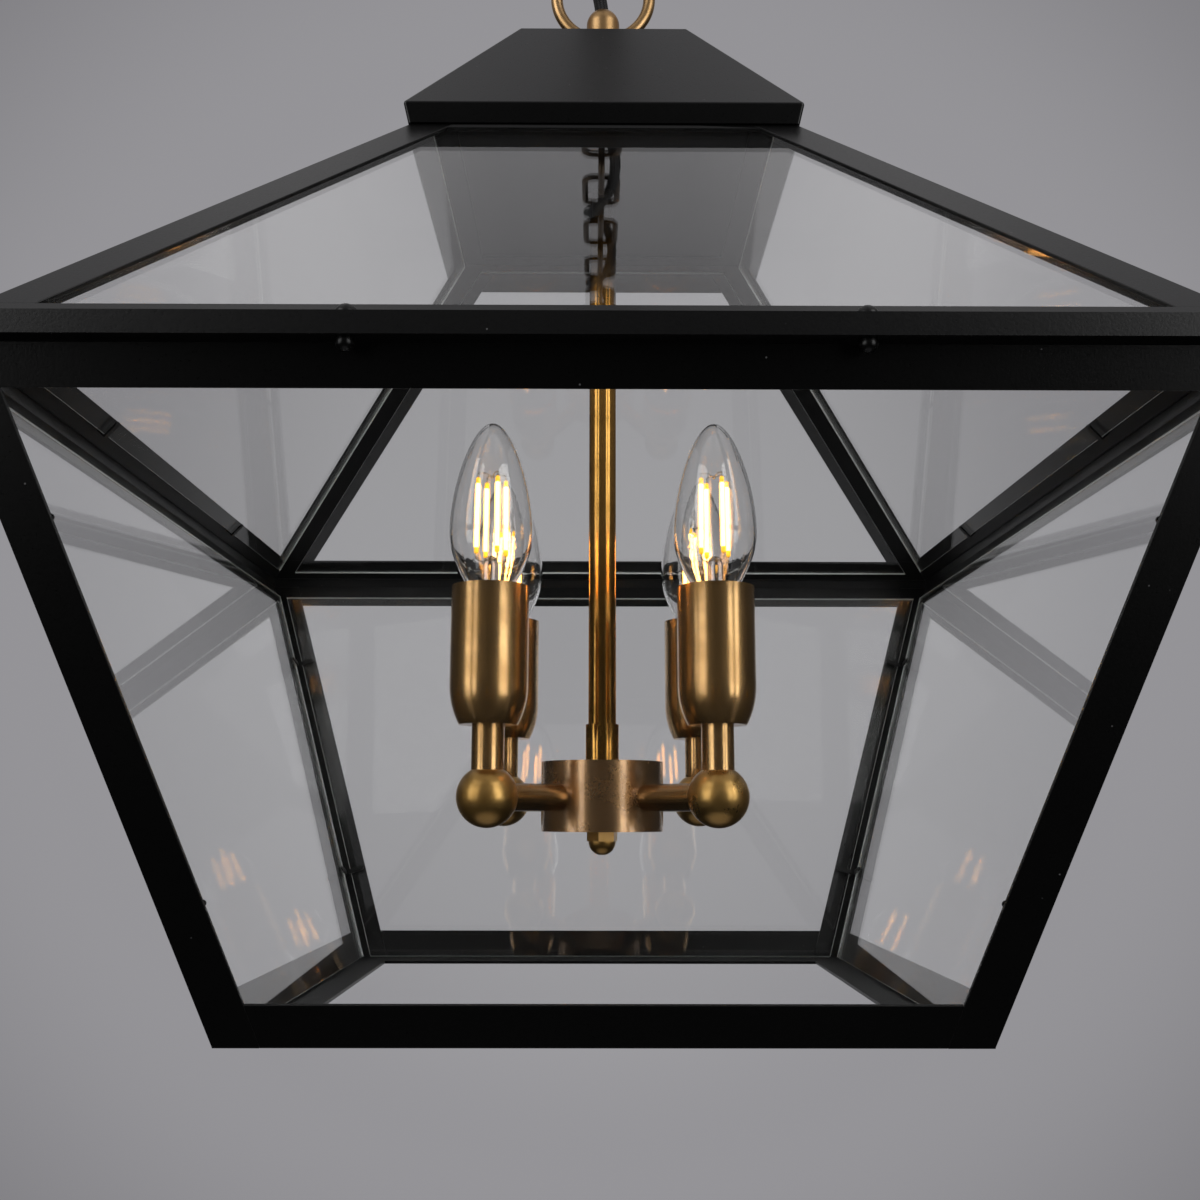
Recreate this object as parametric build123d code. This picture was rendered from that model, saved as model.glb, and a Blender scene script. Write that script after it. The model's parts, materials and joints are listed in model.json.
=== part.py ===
from build123d import *
import math
import os

# Hanging lantern: a glazed steel cage under a glazed pyramid roof, with four candle lamps on a
# brass cluster, hung on a chain with its flex wound round it. Millimetres, +Z up, front to -Y.
# The ceiling plane is z = 0 and its centre is the origin, so everything hangs below it.

# Cage: four leaning walls of angle section, open underneath
base_width = 256.0
cage_height = 214.9
frame_sheet = 1.5
frame_leg = 15.0
base_lip = 17.0

# Eave: a folded rail on the roof caps the flange on the cage
eave_width = 420.0
eave_overhang = 8.0
eave_lip = 7.3
eave_rise = 5.3
eave_tread = 9.2
eave_ledge = 12.0
eave_screw_spacing = 154.0
flange_gap = 0.3

# Roof: four sloping faces up to a square opening under the cap
roof_height = 144.5
roof_top_width = 145.9
top_rail_leg = 15.0
top_flange = 10.0
top_plate_lap = 5.0

# Glass, held by small bent fingers
glass_thickness = 3.0
glass_gap = 0.2
cage_glass_margin = 7.0
roof_glass_margin = 9.0
cage_glass_lap = 3.9
roof_glass_lap = 6.9
roof_glass_drop = 4.0
clip_sheet = 0.8
clip_width = 2.5
clip_reach = 7.2
cage_clip_inset = 45.0
roof_clip_spacing = 172.0

# Cap: a folded pyramid frustum with a turned-in skirt
cap_sheet = 1.0
cap_overhang = 8.05
cap_flare = 1.9
cap_skirt = 8.2
cap_rise = 64.5
cap_top_width = 76.0
cap_bend = 1.2
cap_seat_gap = 0.1

# Hanging loops: a ring cast on a domed boss, one on the lantern and one at the ceiling
loop_radius = 22.7
loop_wire = 5.8
loop_centre = 42.0
boss_width = 16.0
boss_height = 35.0
loop_base_width = 24.0
loop_base_height = 4.0
thread_depth = 11.0

# Chain and flex
link_count = 11
link_length = 46.0
link_width = 24.0
link_wire = 3.8
link_corner = 6.0
link_gap = 0.1
ring_gap = 0.15
flex_diameter = 6.6
flex_bore = 7.4
wrap_radius = 9.0
ring_wrap_radius = 12.0
flex_entry = 10.0
flex_exit = 3.0

# Ceiling plate
plate_width = 64.0
plate_height = 5.0
plate_edge = 2.0
plate_hole_spacing = 46.0
plate_hole = 4.5

# Threaded tube and nuts that tie the fittings together
tube_thread = 10.0
tube_bore = 7.2
thread_gap = 0.05
lock_nut_flats = 14.0
lock_nut_height = 3.0
nipple_shows = 12.7
nipple_grip = 14.0

# Lamp cluster on its rod
rod_width = 12.4
rod_length = 253.5
collar_width = 14.7
collar_height = 16.5
hub_width = 53.5
hub_height = 30.0
hub_wall = 2.5
hub_cover_sheet = 2.5
cap_nut_flats = 12.0
cap_nut_height = 4.2
cap_nut_dome = 5.8
cap_nut_turn = 17.0
arm_height = 14.3
arm_reach = 65.8
arm_width = 11.4
arm_bore = 8.0
ball_width = 25.0
socket_depth = 6.0
stem_width = 13.3
stem_length = 16.2
spigot_length = 9.0
cover_width = 32.0
cover_height = 56.8
cover_wall = 1.5
cover_foot_width = 24.0
cover_foot_rise = 16.0
holder_width = 27.0
holder_height = 50.0
holder_bore = 14.6
holder_gap = 0.2
bulb_seat = 28.5

# Candle bulb, measured up from its contact
bulb_cap_width = 13.6
bulb_cap_height = 24.0
bulb_contact_width = 7.0
bulb_contact_height = 2.5
bulb_neck_width = 19.0
bulb_neck_height = 28.0
bulb_belly_width = 35.0
bulb_belly_height = 51.0
bulb_belly_drop = 11.0
bulb_belly_rise = 20.0
bulb_tip_width = 17.0
bulb_height = 98.5
bulb_wall = 0.9
mount_width = 7.0
mount_length = 18.0
filament_width = 1.8
filament_length = 32.0
filament_foot_radius = 6.6
filament_head_radius = 6.2
filament_turn = -19.0
lead_width = 0.8
bulb_gap = 0.2

# Small fasteners
screw_width = 3.0
screw_hole = 3.2
screw_head_width = 7.4
screw_head_height = 3.6
screw_tail = 2.8
nut_height = 4.4
nut_skirt = 1.2
nut_side_gap = 0.2

os.makedirs("parts", exist_ok=True)

reach = 2 * eave_width
base_half = base_width / 2
eave_half = eave_width / 2
roof_half = eave_half - eave_tread
roof_top_half = roof_top_width / 2
cap_foot_half = roof_top_half + cap_overhang

# Inner faces of the eave rail's channel, from the axis
channel_inside = roof_half + frame_sheet
channel_outside = eave_half - frame_sheet

# Leans of the faces, in radians: the walls meet the eave's overhang, the roof its top opening
lean = math.atan((eave_half - eave_overhang - base_half) / cage_height)
pitch = math.atan(roof_height / (roof_half - roof_top_half))
roof_lean = pitch - math.pi / 2
eave_top = cage_height + eave_rise
roof_top = eave_top + roof_height
roof_run = roof_height / math.sin(pitch)


def save(name, shapes):
    solids = []
    for shape in shapes:
        solids.extend(shape.solids())
    export_step(Compound(children=solids), f"parts/{name}.step")


def four_sides(shape):
    return [Rot(Z=90 * side) * shape for side in range(4)]


def slope_plane(half_width, height, face_lean):
    """Plane of the front face of a pyramid: x across, y up the slope, z outwards."""
    normal = (0, -math.cos(face_lean), -math.sin(face_lean))
    return Plane(origin=(0, -half_width, height), x_dir=(1, 0, 0), z_dir=normal)


def sheet_on(plane, outline, depth, thickness):
    """Flat piece with its outer face a given depth inside a sloping plane."""
    sheet = extrude(Polygon(*outline, align=None), thickness)
    return plane * Pos(0, 0, -depth - thickness) * sheet


def level_slice(shape, low, high):
    return shape & (Pos(0, 0, (low + high) / 2) * Box(reach, reach, high - low))


def corner_strip(half_width, face_lean, low, high, width):
    """Outline of a strip along the left edge of a leaning face, with its width square to it."""
    spread = math.sin(face_lean)
    across = width * math.sqrt(1 + spread * spread)
    low_edge = -half_width - low * spread
    high_edge = -half_width - high * spread
    outline = [(low_edge, low), (low_edge + across, low)]
    outline += [(high_edge + across, high), (high_edge, high)]
    return outline


def face_strip(half_width, face_lean, low, high, margin):
    """Outline across a leaning face between two heights, a margin in from its side edges."""
    spread = math.sin(face_lean)
    inset = margin * math.sqrt(1 + spread * spread)
    low_edge = half_width + low * spread - inset
    high_edge = half_width + high * spread - inset
    return [(-low_edge, low), (low_edge, low), (high_edge, high), (-high_edge, high)]


def mirror_outline(outline):
    return [(-across, up) for across, up in reversed(outline)]


def ring_quarter(outer_half, inner_half, low, high):
    """Front quarter of a flat square frame, mitred on the diagonals."""
    outline = [(-outer_half, -outer_half), (outer_half, -outer_half)]
    outline += [(inner_half, -inner_half), (-inner_half, -inner_half)]
    return Pos(0, 0, low) * extrude(Polygon(*outline, align=None), high - low)


def front_sector():
    outline = [(0, 0), (-reach, -reach), (reach, -reach)]
    return Pos(0, 0, -reach) * extrude(Polygon(*outline, align=None), 3 * reach)


def corner_angle(plane, half_width, face_lean, low, high):
    """Angle section along the front left edge of a pyramid."""
    strip = corner_strip(half_width, face_lean, low, high, frame_leg)
    front = sheet_on(plane, strip, 0, frame_sheet)
    side = Rot(Z=-90) * sheet_on(plane, mirror_outline(strip), 0, frame_sheet)
    return front + side


def hex_nut(flats, height, bore):
    body = extrude(RegularPolygon(flats / 2, 6, major_radius=False), height)
    return body - Pos(0, 0, height / 2) * Cylinder(bore / 2, 2 * height)


def tube(outer, inner, low, high):
    middle = Pos(0, 0, (low + high) / 2)
    return middle * (Cylinder(outer / 2, high - low) - Cylinder(inner / 2, 2 * (high - low)))


def rod_solid(width, low, high):
    return Pos(0, 0, (low + high) / 2) * Cylinder(width / 2, high - low)


# Bore of what the threaded tube passes through
thread_clearance = tube_thread + 2 * thread_gap

# Heights of the chain, from the ceiling down
ring_inside = loop_radius - loop_wire / 2
link_span = link_length - link_wire
ceiling_ring_height = -plate_height - loop_centre
link_tops = [ceiling_ring_height - ring_inside + link_wire / 2 + ring_gap]
for _ in range(link_count - 1):
    link_tops.append(link_tops[-1] - link_span + link_wire + link_gap)
link_feet = [top - link_span for top in link_tops]
lantern_ring_height = link_feet[-1] + link_wire / 2 + ring_gap - ring_inside
cap_top_height = lantern_ring_height - loop_centre

# The cap stands with the foot of its skirt on the roof, and everything else hangs from it
cap_foot_inside = cap_foot_half - cap_sheet
cap_foot = eave_top + (roof_half - cap_foot_inside) * math.tan(pitch) + cap_seat_gap
cap_top = cap_foot + cap_skirt + cap_rise
lantern_foot = cap_top_height - cap_top
rod_top = roof_top - nipple_shows
hub_top = rod_top - rod_length
hub_foot = hub_top - hub_height


def hang(shape):
    """Move a piece drawn from the foot of the cage to its height below the ceiling."""
    return Pos(0, 0, lantern_foot) * shape


def hang_all(shapes):
    return [hang(shape) for shape in shapes]


def cage_frame():
    wall = slope_plane(base_half, 0, lean)
    wall_run = cage_height / math.cos(lean)
    flange_low = cage_height - frame_sheet
    long_post = corner_angle(wall, base_half, lean, -frame_leg, wall_run + frame_leg)
    post = level_slice(long_post, 0, flange_low)
    save("cage_posts", hang_all(four_sides(post)))

    other_post = Rot(Z=90) * post
    low_outline = face_strip(base_half, lean, -frame_leg, frame_leg, frame_leg)
    low_face = sheet_on(wall, low_outline, 0, frame_sheet)
    low_lip = ring_quarter(base_half, base_half - base_lip, 0, frame_sheet) - post - other_post
    low_rail = level_slice(low_face, 0, cage_height) + low_lip
    save("cage_bottom_rails", hang_all(four_sides(low_rail)))

    sight = wall_run - frame_leg
    top_outline = face_strip(base_half, lean, sight, wall_run + frame_leg, frame_leg)
    top_face = sheet_on(wall, top_outline, 0, frame_sheet)
    flange_inside = base_half + flange_low * math.tan(lean) - frame_sheet / math.cos(lean)
    flange_outside = eave_half - frame_sheet - flange_gap
    flange = ring_quarter(flange_outside, flange_inside, flange_low, cage_height)
    top_rail = level_slice(top_face, 0, flange_low) + flange
    hole = rod_solid(screw_hole, flange_low - frame_sheet, cage_height + frame_sheet)
    for place in eave_screw_places():
        top_rail -= place * hole
    save("cage_top_rails", hang_all(four_sides(top_rail)))


def eave_screw_places():
    """Screw axes of the front eave, on the middle of the rail's channel."""
    line = -(channel_inside + channel_outside) / 2
    return [Pos(side * eave_screw_spacing / 2, line, 0) for side in (-1, 1)]


def eave_rail():
    """Inverted channel on the cage's flange, with a glass ledge rising along the roof."""
    rise = Vector(math.cos(pitch), math.sin(pitch))
    inward = Vector(math.sin(pitch), -math.cos(pitch)) * frame_sheet
    foot = Vector(-roof_half, eave_top)
    tip = foot + rise * eave_ledge
    tip_inside = tip + inward
    under = eave_top - frame_sheet
    ledge_start = foot + inward
    meet = ledge_start + rise * ((under - ledge_start.Y) / rise.Y)
    leg_outside = -roof_half - frame_sheet
    outline = [
        (-eave_half, eave_top - eave_lip),
        (-eave_half, eave_top),
        (foot.X, foot.Y),
        (tip.X, tip.Y),
        (tip_inside.X, tip_inside.Y),
        (meet.X, meet.Y),
        (-roof_half, under),
        (-roof_half, cage_height),
        (leg_outside, cage_height),
        (leg_outside, under),
        (-eave_half + frame_sheet, under),
        (-eave_half + frame_sheet, eave_top - eave_lip),
    ]
    section = Plane.YZ * Polygon(*outline, align=None)
    rail = extrude(section, eave_half, both=True)
    hole = rod_solid(screw_hole, under - frame_sheet, eave_top + frame_sheet)
    for place in eave_screw_places():
        rail -= place * hole
    return rail & front_sector()


def roof_frame():
    slope = slope_plane(roof_half, eave_top, roof_lean)
    rail = eave_rail()
    save("roof_eave_rails", hang_all(four_sides(rail)))

    hip = corner_angle(slope, roof_half, roof_lean, eave_ledge, roof_run + frame_leg)
    hip = level_slice(hip, 0, roof_top) - rail - Rot(Z=-90) * rail
    save("roof_hips", hang_all(four_sides(hip)))

    sight = roof_run - top_rail_leg
    outline = face_strip(roof_half, roof_lean, sight, roof_run + frame_leg, frame_leg)
    top_face = level_slice(sheet_on(slope, outline, 0, frame_sheet), 0, roof_top)
    flange_inside = roof_top_half - top_flange
    flange = ring_quarter(roof_top_half, flange_inside, roof_top - frame_sheet, roof_top)
    top_rail = top_face + (flange - hip - Rot(Z=90) * hip)
    save("roof_top_rails", hang_all(four_sides(top_rail)))

    lid_width = 2 * (flange_inside + top_plate_lap)
    lid = Pos(0, 0, roof_top + frame_sheet / 2) * Box(lid_width, lid_width, frame_sheet)
    lid -= rod_solid(thread_clearance, roof_top - frame_sheet, roof_top + 2 * frame_sheet)
    save("top_plate", [hang(lid)])


def glass_clip(plane, across, up, turn):
    """Bent finger on a frame leg: it rises past the pane's edge at this point and laps over it."""
    height = 2 * glass_gap + glass_thickness
    leg = Pos(-glass_gap - clip_sheet / 2, 0, (height + clip_sheet) / 2)
    round_tip = clip_reach - clip_width / 2
    lap_length = round_tip + glass_gap + clip_sheet
    lap = Pos(round_tip - lap_length / 2, 0, height + clip_sheet / 2)
    tip = Pos(round_tip, 0, height + clip_sheet / 2)
    clip = leg * Box(clip_sheet, clip_width, height + clip_sheet)
    clip += lap * Box(lap_length, clip_width, clip_sheet)
    clip += tip * Cylinder(clip_width / 2, clip_sheet)
    inside = plane * Pos(across, up, -frame_sheet) * Rot(Z=turn) * Rot(X=180)
    return inside * clip


def glazing():
    wall = slope_plane(base_half, 0, lean)
    depth = frame_sheet + glass_gap
    pane_low = (frame_sheet + glass_gap - depth * math.sin(lean)) / math.cos(lean)
    pane_high = cage_height / math.cos(lean) - frame_leg + cage_glass_lap
    outline = face_strip(base_half, lean, pane_low, pane_high, cage_glass_margin)
    cage_pane = sheet_on(wall, outline, depth, glass_thickness)

    slope = slope_plane(roof_half, eave_top, roof_lean)
    roof_low = eave_ledge - roof_glass_lap
    roof_high = roof_run - roof_glass_drop
    roof_outline = face_strip(roof_half, roof_lean, roof_low, roof_high, roof_glass_margin)
    roof_pane = sheet_on(slope, roof_outline, depth, glass_thickness)
    for side, name in enumerate(("front", "right", "back", "left")):
        save(f"cage_glass_{name}", [hang(Rot(Z=90 * side) * cage_pane)])
        save(f"roof_glass_{name}", [hang(Rot(Z=90 * side) * roof_pane)])

    clips = []
    spread = math.sin(lean)
    edge_turn = math.degrees(math.atan(spread))
    for up in (pane_low + cage_clip_inset, pane_high - cage_clip_inset):
        across = base_half + up * spread - cage_glass_margin * math.sqrt(1 + spread * spread)
        clips.append(glass_clip(wall, -across, up, edge_turn))
        clips.append(glass_clip(wall, across, up, 180 - edge_turn))
    for side in (-1, 1):
        clips.append(glass_clip(slope, side * roof_clip_spacing / 2, roof_low, 90))
    all_clips = []
    for clip in clips:
        all_clips.extend(four_sides(clip))
    save("glass_clips", hang_all(all_clips))


def dome_solid(width, height):
    """Cap of a sphere standing on z = 0."""
    radius = (width ** 2 / 4 + height ** 2) / (2 * height)
    ball = Pos(0, 0, height - radius) * Sphere(radius)
    return ball & (Pos(0, 0, reach / 2) * Box(reach, reach, reach))


def eave_fasteners():
    """Dome headed screws down through the eave, each in a domed nut under the cage's flange."""
    nut_high = cage_height - frame_sheet
    shank_low = nut_high - screw_tail
    head = Pos(0, 0, eave_top) * dome_solid(screw_head_width, screw_head_height)
    screw = head + rod_solid(screw_width, shank_low, eave_top)
    nut_width = channel_outside - channel_inside - 2 * nut_side_gap
    dome = Rot(X=180) * dome_solid(nut_width, nut_height - nut_skirt)
    nut = rod_solid(nut_width, nut_high - nut_skirt, nut_high)
    nut += Pos(0, 0, nut_high - nut_skirt) * dome
    nut -= rod_solid(screw_width, shank_low - thread_gap, nut_high + nut_skirt)
    screws = []
    nuts = []
    for place in eave_screw_places():
        screws.extend(four_sides(place * screw))
        nuts.extend(four_sides(place * nut))
    save("eave_screws", hang_all(screws))
    save("eave_nuts", hang_all(nuts))


def frustum(foot_half, head_half, height):
    """Square pyramid frustum standing on z = 0."""
    taper = math.degrees(math.atan((foot_half - head_half) / height))
    return extrude(Rectangle(2 * foot_half, 2 * foot_half), height, taper=taper)


def roof_cap():
    fold_half = cap_foot_half + cap_flare
    top_half = cap_top_width / 2
    slant = (fold_half - top_half) / cap_rise
    inset = cap_sheet * math.sqrt(1 + slant * slant)
    outer = frustum(cap_foot_half, fold_half, cap_skirt)
    outer += Pos(0, 0, cap_skirt) * frustum(fold_half, top_half, cap_rise)
    folds = outer.edges().filter_by(lambda edge: edge.center().Z > cap_bend)
    outer = fillet(folds, cap_bend)
    inner_rise = cap_rise - cap_sheet
    inner_top = top_half - inset + cap_sheet * slant
    inner = frustum(cap_foot_inside, fold_half - inset, cap_skirt)
    inner += Pos(0, 0, cap_skirt) * frustum(fold_half - inset, inner_top, inner_rise)
    cap = outer - inner
    cap -= rod_solid(thread_clearance, cap_skirt, cap_skirt + 2 * cap_rise)
    save("roof_cap", [hang(Pos(0, 0, cap_foot) * cap)])


def loop_casting():
    """Ring on a domed boss, standing on z = 0, bored for the flex and threaded below."""
    dome_height = boss_height - boss_width / 2
    casting = rod_solid(loop_base_width, 0, loop_base_height)
    casting += rod_solid(boss_width, 0, dome_height)
    casting += Pos(0, 0, dome_height) * Sphere(boss_width / 2)
    casting += Pos(0, 0, loop_centre) * Rot(X=90) * Torus(loop_radius, loop_wire / 2)
    casting -= rod_solid(flex_bore, thread_depth, boss_height + loop_wire)
    casting -= rod_solid(thread_clearance, -thread_depth, thread_depth)
    return casting


def suspension():
    casting = loop_casting()
    save("hanging_loop", [Pos(0, 0, cap_top_height) * casting])
    save("ceiling_loop", [Pos(0, 0, -plate_height) * Rot(X=180) * casting])
    span = link_span / 2
    side = (link_width - link_wire) / 2
    outline = RectangleRounded(2 * side, 2 * span, link_corner).wire()
    path = Plane.XZ * outline
    section = Plane(origin=path @ 0, z_dir=path % 0) * Circle(link_wire / 2)
    link = sweep(section, path=path)
    for index in range(link_count):
        turn = 90 * ((index + 1) % 2)
        middle = (link_tops[index] + link_feet[index]) / 2
        save(f"chain_link_{index + 1}", [Pos(0, 0, middle) * Rot(Z=turn) * link])


def around(radius, degrees, height):
    angle = math.radians(degrees)
    return Vector(radius * math.cos(angle), radius * math.sin(angle), height)


def flex_route():
    """Points of the flex from the ceiling boss, a quarter turn round each link, to the lantern."""
    ceiling_mouth = -plate_height - boss_height
    lantern_mouth = cap_top_height + boss_height
    ceiling_contact = (ceiling_ring_height - ring_inside + link_tops[0] - link_wire / 2) / 2
    route = [
        Vector(0, 0, ceiling_mouth + flex_entry),
        Vector(0, 0, ceiling_mouth - flex_exit),
        around(ring_wrap_radius, -45, ceiling_contact),
    ]
    for index in range(link_count):
        middle = (link_tops[index] + link_feet[index]) / 2
        route.append(around(wrap_radius, 90 * index, middle))
        last = index == link_count - 1
        radius = ring_wrap_radius if last else wrap_radius
        contact = link_feet[index] + link_wire / 2
        route.append(around(radius, 90 * index + 45, contact))
    route.append(Vector(0, 0, lantern_mouth + flex_exit))
    route.append(Vector(0, 0, lantern_mouth - flex_entry))
    return route


def route_radii(route):
    """The largest arc that each corner's two runs allow."""
    radii = []
    for before, corner, after in zip(route, route[1:], route[2:]):
        turn = math.radians((corner - before).get_angle(after - corner))
        shorter = min((corner - before).length, (after - corner).length)
        radii.append(0.45 * shorter / math.tan(turn / 2))
    return radii


def flex():
    """One tube along the whole route."""
    route = flex_route()
    radii = route_radii(route)
    path = FilletPolyline(*route, radius=radii)
    section = Plane(origin=path @ 0, z_dir=path % 0) * Circle(flex_diameter / 2)
    solid = sweep(section, path=path)
    expected = math.pi * flex_diameter ** 2 / 4 * path.length
    print("flex radii", [round(radius, 1) for radius in radii])
    print("flex length", round(path.length, 1))
    print("flex volume ratio", round(solid.volume / expected, 5))
    save("flex", [solid])


def ceiling_fitting():
    plate = rod_solid(plate_width, -plate_height, 0)
    plate = fillet(plate.edges().group_by(Axis.Z)[0], plate_edge)
    plate -= rod_solid(thread_clearance, -2 * plate_height, plate_height)
    for side in (-1, 1):
        hole = rod_solid(plate_hole, -2 * plate_height, plate_height)
        plate -= Pos(side * plate_hole_spacing / 2, 0, 0) * hole
    save("ceiling_plate", [plate])
    nipple_foot = -plate_height - thread_depth + thread_gap
    save("ceiling_nipple", [tube(tube_thread, tube_bore, nipple_foot, -thread_gap)])


def stem_and_hub():
    upper_head = cap_top + thread_depth - thread_gap
    upper = tube(tube_thread, tube_bore, rod_top - nipple_grip, upper_head)
    lower_foot = hub_foot - cap_nut_height - thread_gap
    lower = tube(tube_thread, tube_bore, lower_foot, hub_top + nipple_grip)
    save("threaded_nipples", hang_all([upper, lower]))
    nut = hex_nut(lock_nut_flats, lock_nut_height, thread_clearance)
    under_cap = cap_top - cap_sheet - lock_nut_height
    places = (roof_top - lock_nut_height, roof_top + frame_sheet, under_cap)
    save("lock_nuts", hang_all([Pos(0, 0, place) * nut for place in places]))

    save("stem_rod", [hang(tube(rod_width, thread_clearance, hub_top, rod_top))])
    collar = tube(collar_width, rod_width + 2 * thread_gap, hub_top, hub_top + collar_height)
    save("rod_collar", [hang(collar)])

    hub = rod_solid(hub_width, hub_foot, hub_top)
    hub -= rod_solid(hub_width - 2 * hub_wall, hub_foot - hub_wall, hub_top - hub_wall)
    hub -= rod_solid(thread_clearance, hub_foot, hub_top + hub_wall)
    arm_axis = hub_foot + arm_height
    for turn in arm_turns():
        hole = Rot(Y=90) * Cylinder(arm_width / 2 + thread_gap, arm_reach)
        hub -= turn * Pos(arm_reach / 2, 0, arm_axis) * hole
    save("lamp_hub", [hang(hub)])
    disc_width = hub_width - 2 * hub_wall - 2 * thread_gap
    disc = tube(disc_width, thread_clearance, hub_foot, hub_foot + hub_cover_sheet)
    save("hub_cover", [hang(disc)])

    dome_radius = cap_nut_flats / 2
    flats = extrude(RegularPolygon(dome_radius, 6, major_radius=False), -cap_nut_height)
    dome = Pos(0, 0, -cap_nut_height) * Sphere(dome_radius)
    dome &= Pos(0, 0, -cap_nut_height - cap_nut_dome / 2) * Box(reach, reach, cap_nut_dome)
    nut_body = flats + dome
    nut_body -= rod_solid(thread_clearance, -cap_nut_height - 2 * thread_gap, cap_nut_height)
    save("hub_cap_nut", [hang(Pos(0, 0, hub_foot) * Rot(Z=cap_nut_turn) * nut_body)])


def arm_turns():
    return [Rot(Z=45 + 90 * index) for index in range(4)]


def lamp_arms():
    axis = hub_foot + arm_height
    arm_start = hub_width / 2 - hub_wall - thread_gap
    arm_end = arm_reach - ball_width / 2 + socket_depth
    arm = Pos(0, 0, axis) * Rot(Y=90) * tube(arm_width, arm_bore, arm_start, arm_end)
    save("lamp_arms", hang_all([turn * arm for turn in arm_turns()]))

    ball = Sphere(ball_width / 2)
    socket_start = ball_width / 2 - socket_depth
    ball -= Rot(Y=-90) * rod_solid(arm_width + 2 * thread_gap, socket_start, ball_width)
    ball -= rod_solid(stem_width + 2 * thread_gap, socket_start, ball_width)
    balls = [turn * Pos(arm_reach, 0, axis) * ball for turn in arm_turns()]
    save("elbow_balls", hang_all(balls))

    stem_foot = axis + socket_start
    stem_head = axis + ball_width / 2 + stem_length
    stem = tube(stem_width, tube_bore, stem_foot, stem_head)
    stem += tube(tube_thread, tube_bore, stem_head, stem_head + spigot_length)
    stems = [turn * Pos(arm_reach, 0, 0) * stem for turn in arm_turns()]
    save("lamp_stems", hang_all(stems))
    return stem_head


def cover_profile(side, foot, floor):
    """Half section of the cup: a straight side drawn in to its foot along one arc."""
    drawn = side - foot
    arc_radius = (cover_foot_rise ** 2 + drawn ** 2) / (2 * drawn)
    half_turn = math.asin(cover_foot_rise / arc_radius) / 2
    middle_x = side - arc_radius * (1 - math.cos(half_turn))
    middle_z = cover_foot_rise - arc_radius * math.sin(half_turn)
    arc_end = (side, floor + cover_foot_rise)
    wall = [
        Line((0, floor), (foot, floor)),
        ThreePointArc((foot, floor), (middle_x, floor + middle_z), arc_end),
        Line(arc_end, (side, cover_height)),
        Line((side, cover_height), (0, cover_height)),
        Line((0, cover_height), (0, floor)),
    ]
    return revolve(Plane.XZ * make_face(wall), Axis.Z)


def bulb_glass():
    """Hollow candle envelope from the lamp's cap up to its rounded tip."""

    def envelope(inset):
        rim = (bulb_cap_width / 2 - inset, bulb_cap_height)
        neck = (bulb_neck_width / 2 - inset, bulb_neck_height)
        belly_side = bulb_belly_width / 2 - inset
        belly_low = (belly_side, bulb_belly_height - bulb_belly_drop)
        belly = (belly_side, bulb_belly_height)
        belly_high = (belly_side, bulb_belly_height + bulb_belly_rise)
        tip_height = bulb_height - inset
        tip_side = (bulb_tip_width / 2 - inset, tip_height)
        tip = (0, tip_height)
        wall = [
            Line((0, bulb_cap_height), rim),
            Bezier(rim, neck, belly_low, belly),
            Bezier(belly, belly_high, tip_side, tip),
            Line(tip, (0, bulb_cap_height)),
        ]
        return revolve(Plane.XZ * make_face(wall), Axis.Z)

    return envelope(0) - envelope(bulb_wall)


def bulb_base():
    """Screw cap with its contact, the glass mount, and four filaments standing round it."""
    mount_low = bulb_cap_height - bulb_gap
    cap = rod_solid(bulb_cap_width, bulb_contact_height, mount_low)
    cap += rod_solid(bulb_contact_width, 0, bulb_contact_height)
    mount = rod_solid(mount_width, mount_low, mount_low + mount_length)
    lead_height = mount_low + mount_length - bulb_gap - lead_width / 2
    for index in range(4):
        lead = Rot(Y=90) * rod_solid(lead_width, 0, filament_foot_radius)
        mount += Rot(Z=filament_turn + 90 * index) * Pos(0, 0, lead_height) * lead
    solids = [cap + mount]
    splay = filament_foot_radius - filament_head_radius
    tilt = math.degrees(math.asin(splay / filament_length))
    middle_radius = (filament_foot_radius + filament_head_radius) / 2
    middle_height = mount_low + mount_length + filament_length / 2
    for index in range(4):
        strip = Rot(Y=-tilt) * Cylinder(filament_width / 2, filament_length)
        stand = Pos(middle_radius, 0, middle_height) * strip
        solids.append(Rot(Z=filament_turn + 90 * index) * stand)
    return solids


def lamps():
    seat = lamp_arms()
    side = cover_width / 2
    foot = cover_foot_width / 2
    cup = cover_profile(side, foot, 0)
    cup -= cover_profile(side - cover_wall, foot - cover_wall, cover_wall)
    cup -= rod_solid(thread_clearance, -cover_wall, cover_height)
    holder_inset = cover_wall + holder_gap
    holder = rod_solid(holder_width, cover_wall, cover_wall + holder_height)
    holder &= cover_profile(side - holder_inset, foot - holder_inset, cover_wall)
    holder -= rod_solid(holder_bore, bulb_seat, cover_height)
    holder -= rod_solid(thread_clearance, 0, spigot_length + thread_gap)
    places = [turn * Pos(arm_reach, 0, seat) for turn in arm_turns()]
    save("lamp_covers", hang_all([place * cup for place in places]))
    save("lampholders", hang_all([place * holder for place in places]))
    glass = bulb_glass()
    base = bulb_base()
    for index, place in enumerate(places):
        seated = place * Pos(0, 0, bulb_seat + bulb_gap)
        save(f"bulb_glass_{index + 1}", [hang(seated * glass)])
        save(f"bulb_base_{index + 1}", [hang(seated * solid) for solid in base])


cage_frame()
roof_frame()
glazing()
eave_fasteners()
roof_cap()
suspension()
flex()
ceiling_fitting()
stem_and_hub()
lamps()
print("link feet", [round(foot, 2) for foot in link_feet])
print("ceiling ring foot", round(ceiling_ring_height - loop_radius, 2))
print("cap top", round(cap_top_height, 2))
print("lantern foot", round(lantern_foot, 2))
print("hub foot above it", round(hub_foot, 2))
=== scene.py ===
import json
import math

import bmesh
import bpy
from mathutils import Matrix, Vector


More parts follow.
